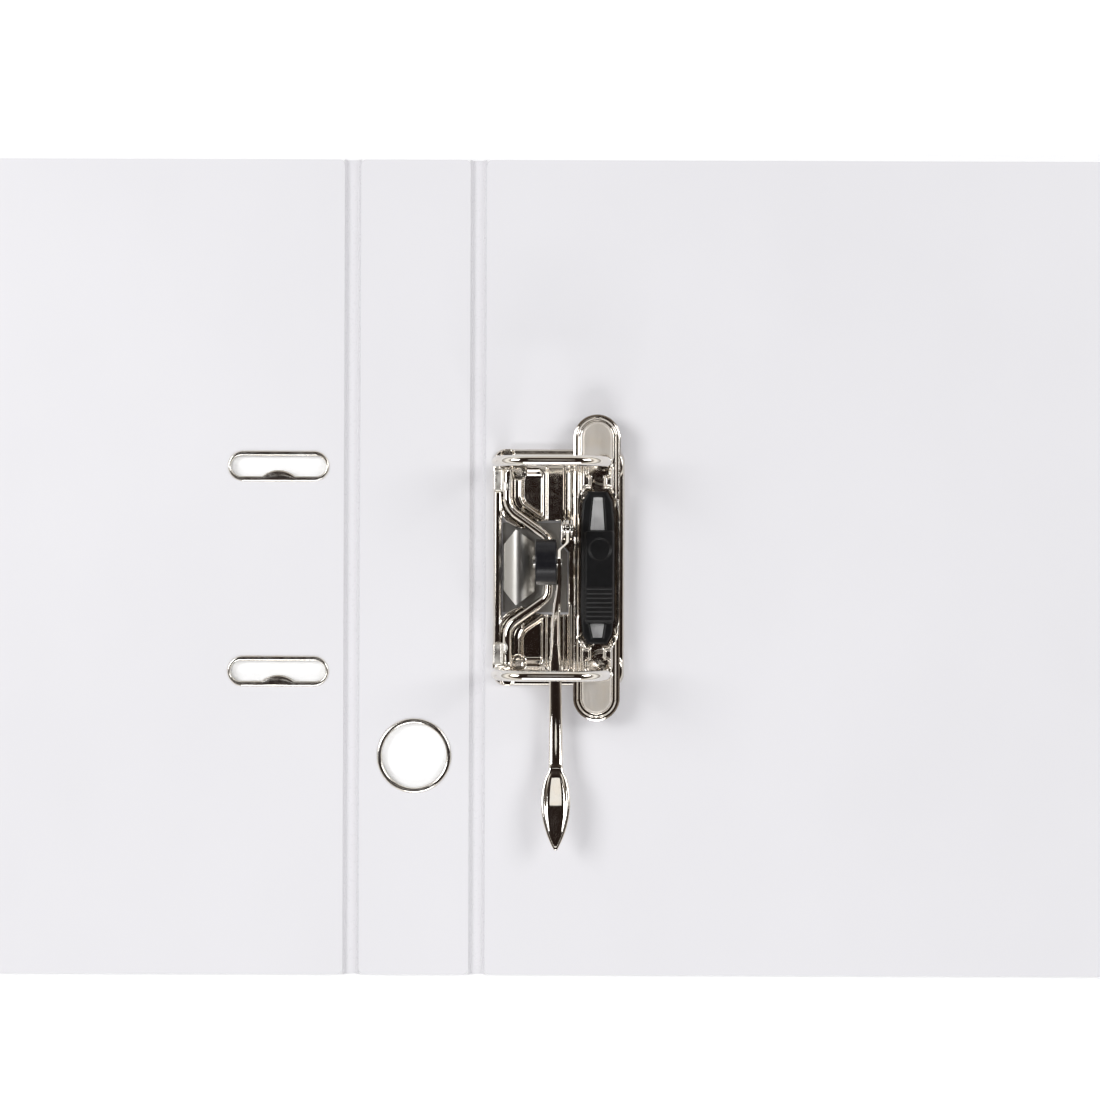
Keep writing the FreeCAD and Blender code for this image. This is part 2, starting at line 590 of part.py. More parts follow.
def clamp_slider():
    """Black plastic slider: thumb block with grip ribs, and two arms to each end."""
    frame = prism([(14.3, 29.4), (21.6, 29.4), (24.3, 22.0), (24.3, -22.0), (21.6, -29.4),
                   (14.3, -29.4), (11.5, -22.0), (11.5, 22.0)], CARRIER_LOW, CARRIER_TOP)
    upper_window = prism([(16.2, 28.0), (19.9, 28.0), (20.7, BLOCK_Y1), (14.8, BLOCK_Y1)], 0, 40)
    lower_window = prism([(14.8, BLOCK_Y0), (20.7, BLOCK_Y0), (19.9, -28.0), (16.2, -28.0)], 0, 40)
    block = box(BLOCK_X0, BLOCK_X1, BLOCK_Y0, BLOCK_Y1, CARRIER_LOW, BLOCK_TOP)
    upright = [e for e in block.Edges if e.BoundBox.ZLength > 1]
    block = block.makeFillet(1.4, upright)
    hooks = box(9.8, 25.4, -12, 12, CARRIER_LOW - 0.4, CARRIER_LOW + 0.3)
    body = joined([less(frame, [upper_window, lower_window]), block, hooks])
    dimple = Part.makeCylinder(4.4, 2, V(18.8, 7.1, BLOCK_TOP - 0.5))
    ribs = [box(BLOCK_X0 + 0.3, BLOCK_X1 - 0.3, -8.0 - RIB_PITCH * i, -7.4 - RIB_PITCH * i,
                BLOCK_TOP - 0.3, BLOCK_TOP + 0.35) for i in range(RIB_COUNT)]
    return joined([body.cut(dimple)] + ribs)


def clamp_strip():
    """Bright steel strip under the slider, seen through its windows."""
    return box(14.4, 21.2, -29.0, 29.0, CARRIER_LOW - 1.1, CARRIER_LOW - 0.6)


# ================================================================ writing the nodes

def main():
    os.makedirs("parts", exist_ok=True)

    names = ("outer_film", "board", "lining")
    for name, piece in zip(names, panel(COVER_EDGE, COVER_EDGE + COVER_WIDTH)):
        save("back_" + name, less(piece, rivet_cutters()))
    for name, piece in zip(names, panel(-SPINE_EDGE, SPINE_EDGE)):
        save("spine_" + name, less(piece, finger_cutters()))
    slots = [side * RING_Y + SLOT_SHIFT for side in (1, -1)]
    for name, piece in zip(names, panel(-COVER_EDGE - COVER_WIDTH, -COVER_EDGE)):
        save("front_" + name, less(piece, slot_cutters(slots[0]) + slot_cutters(slots[1])))
    save("back_hinge_strip", hinge_strip(1))
    save("front_hinge_strip", hinge_strip(-1))
    for place, y in zip(("upper", "lower"), slots):
        save("slot_eyelet_" + place, slot_eyelet(y))
        save("slot_backing_" + place, slot_backing(y))
    save("finger_ring_inner", finger_ring_inner())
    save("finger_ring_outer", finger_ring_outer())

    save("base_plate", to_mechanism(base_plate()))
    save("cover_rivets", to_mechanism(Part.makeCompound([rivet(x, y) for x, y in RIVETS])))
    save("post_upper", to_mechanism(post(1)))
    save("post_lower", to_mechanism(post(-1)))
    save("arch_wire", to_mechanism(arch_wire()))
    save("lever", to_mechanism(lever()))
    save("lever_pivot_pin", to_mechanism(pivot_pin()))
    save("roller", to_mechanism(roller()))
    save("roller_pin", to_mechanism(roller_pin()))
    save("spring_lower_leaf", to_mechanism(lower_leaf()))
    save("spring_upper_leaf", to_mechanism(upper_leaf()))
    save("compressor_bar", to_mechanism(compressor_bar()))
    save("clamp_slider", to_mechanism(clamp_slider()))
    save("clamp_strip", to_mechanism(clamp_strip()))


main()
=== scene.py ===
import json
import math

import bmesh
import bpy
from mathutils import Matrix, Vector


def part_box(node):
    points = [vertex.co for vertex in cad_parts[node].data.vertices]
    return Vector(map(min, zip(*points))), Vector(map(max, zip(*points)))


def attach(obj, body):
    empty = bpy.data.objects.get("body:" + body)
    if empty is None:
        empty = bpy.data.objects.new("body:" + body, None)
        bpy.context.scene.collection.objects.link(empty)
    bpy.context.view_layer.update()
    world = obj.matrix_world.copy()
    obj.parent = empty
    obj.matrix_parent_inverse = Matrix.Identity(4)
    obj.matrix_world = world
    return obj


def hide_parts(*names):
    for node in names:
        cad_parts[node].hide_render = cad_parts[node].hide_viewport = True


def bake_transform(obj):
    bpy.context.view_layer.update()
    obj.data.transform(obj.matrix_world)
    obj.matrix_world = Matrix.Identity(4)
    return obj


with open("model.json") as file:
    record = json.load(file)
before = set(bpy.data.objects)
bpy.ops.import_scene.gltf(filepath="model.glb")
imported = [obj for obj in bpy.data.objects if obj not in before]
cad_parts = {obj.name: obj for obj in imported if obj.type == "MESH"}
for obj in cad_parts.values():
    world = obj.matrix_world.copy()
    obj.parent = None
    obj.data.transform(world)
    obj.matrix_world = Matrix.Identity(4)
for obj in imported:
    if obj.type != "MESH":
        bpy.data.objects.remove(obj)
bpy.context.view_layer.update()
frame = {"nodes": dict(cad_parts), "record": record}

MM = 0.001

# ---------------------------------------------------------------- places, in mm, from the frame


def node_box(name):
    """Lowest and highest corner of a CAD node, in mm."""
    low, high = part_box(name)
    return low / MM, high / MM


WIRE_LOW, WIRE_HIGH = node_box("arch_wire")
MID_X = (WIRE_LOW.x + WIRE_HIGH.x) / 2
PANEL = node_box("back_lining")[1].z
PLATE_LOW, PLATE_HIGH = node_box("base_plate")
SPINE_EDGE = node_box("spine_outer_film")[1].x
COVER_EDGE = node_box("back_outer_film")[0].x
HALF_HEIGHT = node_box("back_outer_film")[1].y
BAR_LOW, BAR_HIGH = node_box("compressor_bar")
WIRE_R = 2.0
ARCH_X = 20.5
RING_Y = (WIRE_HIGH.y - WIRE_LOW.y) / 2 - WIRE_R


# ================================================================ node helpers

class Nodes:
    """A material's node tree with short calls for the nodes used here."""

    def __init__(self, name):
        self.material = bpy.data.materials.new(name)
        self.material.use_nodes = True
        self.tree = self.material.node_tree
        self.shader = self.tree.nodes["Principled BSDF"]
        self.coords = self.tree.nodes.new("ShaderNodeTexCoord").outputs["Object"]

    def add(self, kind, **settings):
        node = self.tree.nodes.new(kind)
        for key, value in settings.items():
            setattr(node, key, value)
        return node

    def link(self, source, target):
        self.tree.links.new(source, target)

    def set(self, **values):
        """Values on the shader's own sockets, underscores standing for spaces."""
        for key, value in values.items():
            self.shader.inputs[key.replace("_", " ")].default_value = value

    def stretched(self, scale):
        """Object coordinates, in metres, times a scale on each axis."""
        mapping = self.add("ShaderNodeMapping")
        mapping.inputs["Scale"].default_value = scale
        self.link(self.coords, mapping.inputs["Vector"])
        return mapping.outputs["Vector"]

    def noise(self, scale, detail=4.0, rough=0.55):
        """Noise with so many cells per metre on each axis."""
        node = self.add("ShaderNodeTexNoise")
        node.inputs["Scale"].default_value = 1.0
        node.inputs["Detail"].default_value = detail
        node.inputs["Roughness"].default_value = rough
        self.link(self.stretched(scale), node.inputs["Vector"])
        return node.outputs["Fac"]

    def range(self, source, low, high, start=0.3, end=0.7):
        """The source's middle stretch remapped to low..high."""
        node = self.add("ShaderNodeMapRange")
        node.inputs["From Min"].default_value = start
        node.inputs["From Max"].default_value = end
        node.inputs["To Min"].default_value = low
        node.inputs["To Max"].default_value = high
        self.link(source, node.inputs["Value"])
        return node.outputs["Result"]

    def mix(self, factor, a, b):
        """Colour between a and b."""
        node = self.add("ShaderNodeMix", data_type="RGBA")
        self.link(factor, node.inputs["Factor"])
        node.inputs["A"].default_value = (*a, 1)
        node.inputs["B"].default_value = (*b, 1)
        return node.outputs["Result"]

    def bump(self, height, distance, strength=1.0, below=None):
        """Normal from a height, over another bump if there is one."""
        node = self.add("ShaderNodeBump")
        node.inputs["Strength"].default_value = strength
        node.inputs["Distance"].default_value = distance
        self.link(height, node.inputs["Height"])
        if below is not None:
            self.link(below, node.inputs["Normal"])
        return node.outputs["Normal"]

    def colour(self, source):
        self.link(source, self.shader.inputs["Base Color"])

    def roughness(self, source):
        self.link(source, self.shader.inputs["Roughness"])

    def normal(self, source):
        self.link(source, self.shader.inputs["Normal"])


# ================================================================ materials

def film_material(name, colour, gloss=0.42):
    """Matte polypropylene: fine moulded grain, faint ripples of the board below."""
    m = Nodes(name)
    blotch = m.noise((9, 7, 9), 3)
    light = tuple(min(1.0, c * 1.015) for c in colour)
    dark = tuple(c * 0.985 for c in colour)
    m.colour(m.mix(m.range(blotch, 0, 1), dark, light))
    m.roughness(m.range(m.noise((900, 900, 900), 2), gloss - 0.05, gloss + 0.07))
    ripple = m.bump(m.noise((26, 22, 26), 3), 0.0008, 0.35)
    m.normal(m.bump(m.noise((2600, 2600, 2600), 3), 0.00003, 0.5, ripple))
    m.set(Specular_IOR_Level=0.4)
    return m.material


def warmed(colour):
    """The same metal where its plating has yellowed a little."""
    return colour[0], colour[1] * 0.965, colour[2] * 0.91


def plated_material(name, colour, rough=0.08, brush=None):
    """Bright nickel plating: soft stains, fine wear lines, and drawing marks along brush."""
    m = Nodes(name)
    stain = m.noise((160, 160, 160), 4)
    m.colour(m.mix(m.range(stain, 0, 1), colour, warmed(colour)))
    m.roughness(m.range(m.noise((420, 420, 420), 5), rough * 0.7, rough * 1.6))
    lines = m.noise(brush or (1500, 300, 1500), 3)
    wave = m.bump(m.noise((120, 120, 120), 2), 0.00006, 0.5)
    m.normal(m.bump(lines, 0.000012, 0.5, wave))
    m.set(Metallic=1.0)
    return m.material


def brushed_material(name, colour, rough, along="Y", streaks=0.8):
    """Rolled steel with long brushing streaks."""
    m = Nodes(name)
    scale = {"Y": (2600, 45, 2600), "X": (45, 2600, 2600)}[along]
    streak = m.noise(scale, 5, 0.7)
    dark = tuple(c * streaks for c in colour)
    m.colour(m.mix(m.range(streak, 0, 1), dark, colour))
    m.roughness(m.range(streak, rough * 0.8, rough * 1.3))
    m.normal(m.bump(streak, 0.00002, 0.6))
    m.set(Metallic=1.0)
    return m.material


def moulded_material(name, colour, rough):
    """Black moulded plastic with a fine spark-eroded grain."""
    m = Nodes(name)
    grain = m.noise((3800, 3800, 3800), 3)
    light = tuple(c * 1.5 + 0.002 for c in colour)
    m.colour(m.mix(m.range(m.noise((240, 240, 240), 3), 0, 1), colour, light))
    m.roughness(m.range(grain, rough - 0.06, rough + 0.08))
    m.normal(m.bump(grain, 0.00002, 0.6))
    m.set(Specular_IOR_Level=0.32)
    return m.material


SATIN_FROM_Y = (0.0405, 0.0435)
SATIN_FROM_Z = (0.0148, 0.0151)


def satin_ended_material(name, colour, rough):
    """Bright plating on the bar, left satin on the flat of its two ends."""
    m = Nodes(name)
    split = m.add("ShaderNodeSeparateXYZ")
    m.link(m.coords, split.inputs[0])
    away = m.add("ShaderNodeMath", operation="ABSOLUTE")
    m.link(split.outputs["Y"], away.inputs[0])
    ends = m.range(away.outputs[0], 0, 1, *SATIN_FROM_Y)
    flat = m.range(split.outputs["Z"], 0, 1, *SATIN_FROM_Z)
    both = m.add("ShaderNodeMath", operation="MULTIPLY")
    m.link(ends, both.inputs[0])
    m.link(flat, both.inputs[1])
    grain = m.noise((2200, 120, 2200), 4, 0.7)
    satin = m.range(grain, 0.50, 0.62)
    bright = m.range(m.noise((420, 420, 420), 5), rough * 0.7, rough * 1.6)
    level = m.add("ShaderNodeMix", data_type="FLOAT")
    m.link(both.outputs[0], level.inputs["Factor"])
    m.link(bright, level.inputs["A"])
    m.link(satin, level.inputs["B"])
    m.roughness(level.outputs["Result"])
    stain = m.noise((160, 160, 160), 4)
    m.colour(m.mix(m.range(stain, 0, 1), colour, warmed(colour)))
    wave = m.bump(m.noise((120, 120, 120), 2), 0.00006, 0.5)
    m.normal(m.bump(grain, 0.000012, 0.5, wave))
    m.set(Metallic=1.0)
    return m.material


def pale_zinc_and_painted_light_material(name):
    """Dull pale zinc with rolling marks along Y; its colour is raised near white, painted light that
    offsets the shade of its recess.
    """
    m = Nodes(name)
    streak = m.noise((2400, 60, 2400), 5, 0.7)
    # partly painted light: the pale zinc colour is raised near white to offset the shade the strip gets
    # in its recess
    m.colour(m.mix(m.range(streak, 0, 1), (0.84, 0.83, 0.82), (0.95, 0.94, 0.93)))
    m.roughness(m.range(streak, 0.36, 0.52))
    m.normal(m.bump(streak, 0.00002, 0.6))
    m.set(Metallic=0.05)
    return m.material


def board_material(name):
    """Greyboard: mixed fibres and specks."""
    m = Nodes(name)
    fibre = m.noise((1200, 1200, 4200), 6, 0.75)
    m.colour(m.mix(m.range(fibre, 0, 1), (0.22, 0.21, 0.19), (0.42, 0.40, 0.36)))
    m.roughness(m.range(fibre, 0.8, 0.95))
    m.normal(m.bump(fibre, 0.00008, 0.7))
    return m.material


WHITE = (0.80, 0.79, 0.81)
FINISHES = {
    "white_film": film_material("white_film_look", WHITE, 0.38),
    "white_lining": film_material("white_lining_look", WHITE, 0.42),
    "hinge_film": film_material("hinge_film_look", (0.78, 0.77, 0.79), 0.30),
    "greyboard": board_material("greyboard_look"),
    "eyelet_metal": plated_material("eyelet_look", (0.84, 0.83, 0.81), 0.17),
    "plate_metal": plated_material("plate_look", (0.74, 0.71, 0.67), 0.07),
    "strap_metal": plated_material("strap_look", (0.80, 0.79, 0.76), 0.30),
    "rivet_metal": plated_material("rivet_look", (0.76, 0.74, 0.71), 0.16),
    "wire_metal": plated_material("wire_look", (0.82, 0.80, 0.77), 0.05, (900, 260, 900)),
    "lever_metal": plated_material("lever_look", (0.82, 0.80, 0.77), 0.06),
    "pin_steel": brushed_material("pin_look", (0.60, 0.59, 0.57), 0.25, "X"),
    "roller_plastic": moulded_material("roller_look", (0.006, 0.006, 0.008), 0.30),
    "spring_steel": brushed_material("spring_look", (0.46, 0.45, 0.43), 0.34, "Y", 0.93),
    "bar_metal": satin_ended_material("bar_look", (0.76, 0.73, 0.69), 0.09),
    "slider_plastic": moulded_material("slider_look", (0.003, 0.003, 0.0035), 0.36),
    "strip_steel": pale_zinc_and_painted_light_material("strip_painted_light_look"),
}


# ================================================================ shape helpers, in mm

def smooth(t):
    """0 below 0, 1 above 1, an S-curve between."""
    t = min(1.0, max(0.0, t))
    return t * t * (3 - 2 * t)


def crown(d, radius):
    """How far a rounded edge has dropped at depth d inside it."""
    if d >= radius:
        return 0.0
    return radius - math.sqrt(max(0.0, radius ** 2 - (radius - max(0.0, d)) ** 2))


def in_box(x, y, x0, x1, y0, y1, r=0.0):
    """Distance inside a rounded rectangle, negative outside."""
    qx = abs(x - (x0 + x1) / 2) - (x1 - x0) / 2 + r
    qy = abs(y - (y0 + y1) / 2) - (y1 - y0) / 2 + r
    return r - math.hypot(max(qx, 0.0), max(qy, 0.0)) - min(max(qx, qy), 0.0)


def to_segment(x, y, a, b):
    """Distance from a point to a segment."""
    dx, dy = b[0] - a[0], b[1] - a[1]
    t = ((x - a[0]) * dx + (y - a[1]) * dy) / (dx * dx + dy * dy)
    t = min(1.0, max(0.0, t))
    return math.hypot(x - a[0] - t * dx, y - a[1] - t * dy)


def to_line(x, y, line):
    """Distance from a point to an open polyline."""
    return min(to_segment(x, y, line[i], line[i + 1]) for i in range(len(line) - 1))


def in_polygon(x, y, ring):
    """Distance inside a polygon, negative outside."""
    inside = False
    for i, a in enumerate(ring):
        b = ring[i - 1]
        if (a[1] > y) != (b[1] > y) and x < (b[0] - a[0]) * (y - a[1]) / (b[1] - a[1]) + a[0]:
            inside = not inside
    d = to_line(x, y, ring + ring[:1])
    return d if inside else -d


def rounded_line(points, radii, steps=10):
    """Polyline with each inner corner turned into an arc, in two or three dimensions."""
    pts = [Vector(p) for p in points]
    line = [pts[0]]
    for i in range(1, len(pts) - 1):
        into = (pts[i] - pts[i - 1]).normalized()
        out = (pts[i + 1] - pts[i]).normalized()
        turn = into.angle(out)
        reach = radii[i - 1] * math.tan(turn / 2)
        centre = pts[i] + (out - into).normalized() * (radii[i - 1] / math.cos(turn / 2))
        start = pts[i] - into * reach - centre
        for k in range(steps + 1):
            a = turn * k / steps
            line.append(centre + start * math.cos(a) + into * (radii[i - 1] * math.sin(a)))
    line.append(pts[-1])
    return line


def mirrored(half):
    """Closed outline from its half with positive Y."""
    return half + [(x, -y) for x, y in reversed(half)]


def new_piece(name, verts, faces, material, sharp=()):
    """Smooth-shaded object from vertices in mm, with some edges kept sharp."""
    mesh = bpy.data.meshes.new(name)
    mesh.from_pydata([(x * MM, y * MM, z * MM) for x, y, z in verts], [], faces)
    mesh.materials.append(FINISHES[material])
    mesh.polygons.foreach_set("use_smooth", [True] * len(mesh.polygons))
    if sharp:
        wanted = {tuple(sorted(e)) for e in sharp}
        for edge in mesh.edges:
            if tuple(sorted(edge.vertices)) in wanted:
                edge.use_edge_sharp = True
    piece = bpy.data.objects.new(name, mesh)
    bpy.context.scene.collection.objects.link(piece)
    return piece


def settle(piece, body, slot, *nodes):
    """Ride on a body and stand for CAD nodes; slot is not used."""
    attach(piece, body)
    if nodes:
        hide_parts(*nodes)


SNAP_ROUNDS = 3
SNAP_STEP = 0.02
THINNEST = 0.05


def pressed_sheet(name, span, pitch, height, metal, under, material, shift=0.0):
    """Sheet with a shaped top: a grid trimmed and snapped to the outline, with a bottom and edges.

    height gives the top, metal the distance inside the outline, and under the bottom's height.
    """
    x0, x1, y0, y1 = span
    nx = math.ceil((x1 - x0) / pitch[0])
    ny = math.ceil((y1 - y0) / pitch[1])
    xs = [x0 + (x1 - x0) * i / nx for i in range(nx + 1)]
    ys = [y0 + (y1 - y0) * j / ny for j in range(ny + 1)]
    depth = [[metal(x, y) for y in ys] for x in xs]
    cells = []
    count = {}
    for i in range(nx):
        for j in range(ny):
            corners = [(i, j), (i + 1, j), (i + 1, j + 1), (i, j + 1)]
            levels = [depth[a][b] for a, b in corners]
            if sum(levels) > 0 and min(levels) > -max(pitch):
                cells.append(corners)
                for k in range(4):
                    edge = frozenset((corners[k], corners[(k + 1) % 4]))
                    count[edge] = count.get(edge, 0) + 1
    rim = {p for edge, n in count.items() if n == 1 for p in edge}
    index = {}
    places = []
    for corners in cells:
        for p in corners:
            if p in index:
                continue
            x, y = xs[p[0]], ys[p[1]]
            if p in rim:
                for _ in range(SNAP_ROUNDS):
                    gx = (metal(x + SNAP_STEP, y) - metal(x - SNAP_STEP, y)) / (2 * SNAP_STEP)
                    gy = (metal(x, y + SNAP_STEP) - metal(x, y - SNAP_STEP)) / (2 * SNAP_STEP)
                    scale = metal(x, y) / max(0.25, gx * gx + gy * gy)
                    x -= scale * gx
                    y -= scale * gy
            index[p] = len(places)
            places.append((x, y))
    top = [(x + shift, y, height(x, y)) for x, y in places]
    low = [(x + shift, y, min(under(x, y, z), z - THINNEST)) for (x, y), (_, _, z) in zip(places, top)]
    n = len(places)
    faces = []
    sharp = []
    for corners in cells:
        face = [index[p] for p in corners]
        faces.append(face)
        faces.append([k + n for k in reversed(face)])
        for k in range(4):
            a, b = corners[k], corners[(k + 1) % 4]
            if count[frozenset((a, b))] == 1:
                ia, ib = index[a], index[b]
                faces.append([ib, ia, ia + n, ib + n])
                sharp += [(ia, ib), (ia + n, ib + n)]
    return new_piece(name, top + low, faces, material, sharp)


def tube(name, line, radius, material, sides):
    """Round bar along a dense line of points, with a frame carried from point to point."""
    pts = [Vector(p) for p in line]
    verts = []
    faces = []
    normal = None
    for i, p in enumerate(pts):
        ahead = pts[min(i + 1, len(pts) - 1)] - pts[max(i - 1, 0)]
        ahead.normalize()
        if normal is None:
            normal = ahead.orthogonal().normalized()
        normal = (normal - ahead * normal.dot(ahead)).normalized()
        side = ahead.cross(normal)
        for k in range(sides):
            a = 2 * math.pi * k / sides
            verts.append(p + normal * (radius * math.cos(a)) + side * (radius * math.sin(a)))
        if i:
            for k in range(sides):
                a, b = (i - 1) * sides + k, (i - 1) * sides + (k + 1) % sides
                faces.append([a, b, b + sides, a + sides])
    last = (len(pts) - 1) * sides
    faces.append(list(reversed(range(sides))))
    faces.append([last + k for k in range(sides)])
    rims = [(k, (k + 1) % sides) for k in range(sides)]
    rims += [(a + last, b + last) for a, b in rims]
    return new_piece(name, [tuple(v) for v in verts], faces, material, rims)


def rings_piece(name, rings, material, closed=False):
    """Skin over equal closed rings of points; closed joins the last ring to the first."""
    n = len(rings[0])
    verts = [p for ring in rings for p in ring]
    faces = []
    for i in range(len(rings) - (0 if closed else 1)):
        j = (i + 1) % len(rings)
        for k in range(n):
            faces.append([i * n + k, i * n + (k + 1) % n, j * n + (k + 1) % n, j * n + k])
    if not closed:
        faces.append(list(reversed(range(n))))
        faces.append([(len(rings) - 1) * n + k for k in range(n)])
    return new_piece(name, verts, faces, material)


def dress_cad():
    """Every carried-over CAD node takes its slot's finish."""
    for part in frame["record"]["subparts"]:
        obj = frame["nodes"][part["node"]]
        obj.data.materials.clear()
        obj.data.materials.append(FINISHES[part["material_slot"]])


dress_cad()


# ================================================================ base plate

PLATE_TOP = 5.6
PLATE_SHEET = 0.8
PLATE_X0 = PLATE_LOW.x - MID_X
PLATE_X1 = PLATE_HIGH.x - MID_X
PLATE_HALF = PLATE_HIGH.y
PLATE_CORNER = 4.6
RIM_X, RIM_HALF, RIM_END = -20.9, 1.35, 30
CENTRE_RIB = (-1.9, 5.4, 17, 39.4)
SIDE_RIB = (6.6, 8.2, 14, 43)
PAN = (-11.2, -3.2, 17, 38.6)
POST_BOSS = 8.2
GROOVE_FLOOR = 3.25
GROOVE_HALF = 2.05
RIVET_HEAD = 2.3
AXLE_X, AXLE_Z = -16.9, 5.4
CRANK_X, CRANK_Z = -0.8, 6.0
CRANK_HALF, CRANK_ROOT = 11.5, 23.0
RIVETS = ((-12.6, 37.2), (14.0, 28.0))

WIRE_PLAN = [tuple(p)[:2] for p in rounded_line(
    [(AXLE_X, 44, 0), (AXLE_X, CRANK_ROOT, 0), (CRANK_X, CRANK_HALF, 0)], [8.0], 8)]
LEFT_LIP = [tuple(p)[:2] for p in rounded_line(
    [(-19.3, 29, 0), (-19.3, 19.6, 0), (-11.6, 15.2, 0)], [4.0], 6)]
RIGHT_LIP = [tuple(p)[:2] for p in rounded_line(
    [(-11.9, 36, 0), (-11.9, 25.0, 0), (-2.6, 18.6, 0)], [5.0], 6)]
WINDOW = [(-19.2, 0), (-19.2, 20.4), (-17.2, 17.6), (-13.6, 15.6), (-10.8, 15.0), (-7.6, 17.6),
          (-2.6, 18.2), (3.9, 18.2), (3.9, 9.5), (6.8, 6.0), (6.8, 0)]
LOWER_WINDOW = [(x, -y) for x, y in WINDOW[:8]] + [(6.8, -18.2), (6.8, 0)]


def in_window(x, y):
    """Distance inside the plate's cut-out."""
    return in_polygon(x, abs(y) + 0.001, WINDOW if y >= 0 else [(a, -b) for a, b in LOWER_WINDOW])


def plate_metal(x, y):
    """Distance inside the plate's sheet."""
    outline = in_box(x, y, PLATE_X0, PLATE_X1, -PLATE_HALF, PLATE_HALF, PLATE_CORNER)
    holes = -math.hypot(x - ARCH_X, abs(y) - RING_Y) + WIRE_R
    return min(outline, -in_window(x, y), -holes)


def plate_height(x, y):
    """Top of the pressed plate."""
    u = abs(y)
    edge = in_box(x, y, PLATE_X0, PLATE_X1, -PLATE_HALF, PLATE_HALF, PLATE_CORNER)
    beside_rim = smooth((x + 19.6) / 0.8)
    z = PANEL + 1.0 + 1.5 * smooth(edge / 0.6) + 0.7 * smooth((edge - 1.9) / 0.7) * beside_rim
    rim = abs(x - RIM_X) / RIM_HALF
    if rim < 1 and u < RIM_END:
        z += 0.75 * (1 - rim ** 4) * smooth((RIM_END - u) / 0.8)
    z += 1.35 * smooth(in_box(x, u, *CENTRE_RIB, 0.9) / 0.55)
    z += 0.6 * smooth(in_box(x, u, *SIDE_RIB, 0.8) / 0.6)
    z += 0.7 * smooth((POST_BOSS - math.hypot(x - ARCH_X, u - RING_Y)) / 1.2)
    z -= 1.6 * smooth(in_box(x, u, *PAN, 2.6) / 0.5) * smooth((PAN[3] - u) / 3.6)
    lip = to_line(x, u, RIGHT_LIP)
    if u < RIM_END:
        lip = min(lip, to_line(x, u, LEFT_LIP))
    if lip < 1.2:
        z = max(z, PLATE_TOP + 0.45 - 1.1 * lip ** 2)
    wire = to_line(x, u, WIRE_PLAN)
    z += (GROOVE_FLOOR - z) * (1 - smooth((wire - GROOVE_HALF) / 0.55))
    leg = in_box(x, u, -26, AXLE_X, RING_Y - 3.2, RING_Y + 3.2)
    z += (GROOVE_FLOOR - z) * smooth(leg / 0.6)
    for rx, ry in RIVETS:
        z += (GROOVE_FLOOR - z) * (1 - smooth(math.hypot(x - rx, u - ry) - RIVET_HEAD))
    return z - 0.6 * crown(plate_metal(x, y), 0.4)


STRAP_X0, STRAP_X1 = -22.4, -16.7
STRAP_Y0, STRAP_Y1 = 29.4, 38.0
STRAP_FOLD = -19.6


def make_strap(name, side):
    """Pale strap on the rim with a round tab pressed over the axle."""
    def metal(x, y):
        strap = in_box(x, side * y, STRAP_X0, -18.6, 29.7, STRAP_Y1, 0.8)
        tab = in_box(x, side * y, -20.6, STRAP_X1, STRAP_Y0, 33.2, 1.7)
        return max(strap, tab)

    def height(x, y):
        over = AXLE_Z + math.sqrt(max(0.3, 2.75 ** 2 - (x - AXLE_X) ** 2))
        flat = PLATE_TOP + 0.75 + 0.10 * (x - STRAP_X0)
        return flat + (over - flat) * smooth(x - STRAP_FOLD) - 0.5 * crown(metal(x, y), 0.5)

    def under(x, y, z):
        return max(PLATE_TOP - 0.2, z - 0.55) if x < STRAP_FOLD else z - 0.55

    y0, y1 = sorted((side * STRAP_Y0, side * STRAP_Y1))
    return pressed_sheet(name, (STRAP_X0, STRAP_X1, y0, y1), (0.3, 0.3), height, metal, under,
                         "strap_metal", MID_X)


def make_plate():
    """Pressed plate, two bearing straps and the lever's bracket."""
    plate = pressed_sheet("plate_pressing", (PLATE_X0, PLATE_X1, -PLATE_HALF, PLATE_HALF), (0.3, 0.32),
                          plate_height, plate_metal, lambda x, y, z: max(PANEL + 0.02, z - PLATE_SHEET),
                          "plate_metal", MID_X)
    settle(plate, "back_cover", "plate_metal", "base_plate")
    for name, side in (("strap_upper", 1), ("strap_lower", -1)):
        settle(make_strap(name, side), "back_cover", "plate_metal", "base_plate")
    for name, x in (("bracket_left", 4.7), ("bracket_right", 7.4)):
        settle(bracket_cheek(name, x), "back_cover", "plate_metal", "base_plate")


def bevelled(piece, width, segments=2):
    """Round the piece's hard edges for good."""
    edit = bmesh.new()
    edit.from_mesh(piece.data)
    bmesh.ops.recalc_face_normals(edit, faces=edit.faces)
    hard = [e for e in edit.edges if len(e.link_faces) == 2 and e.calc_face_angle(0) > 0.6]
    bmesh.ops.bevel(edit, geom=hard, offset=width * MM, segments=segments, affect="EDGES", profile=0.5)
    edit.to_mesh(piece.data)
    edit.free()
    piece.data.polygons.foreach_set("use_smooth", [True] * len(piece.data.polygons))
    flat_by_angle(piece)
    return piece


def flat_by_angle(piece, angle=0.7):
    """Keep edges sharper than the angle crisp in a smooth-shaded mesh."""
    edit = bmesh.new()
    edit.from_mesh(piece.data)
    for edge in edit.edges:
        edge.smooth = len(edge.link_faces) != 2 or edge.calc_face_angle(0) < angle
    edit.to_mesh(piece.data)
    edit.free()


def side_plate(name, outline, x0, x1, material):
    """Plate from an outline in Y and Z, from x0 to x1, with its edges rounded."""
    n = len(outline)
    verts = [(MID_X + x0, y, z) for y, z in outline] + [(MID_X + x1, y, z) for y, z in outline]
    faces = [list(range(n)), [k + n for k in reversed(range(n))]]
    faces += [[(k + 1) % n, k, k + n, (k + 1) % n + n] for k in range(n)]
    return bevelled(new_piece(name, verts, faces, material), 0.14)


PIVOT_Y, PIVOT_Z = 15.2, 25.05
CHEEK_R = 3.3
CHEEK_SHEET = 0.75


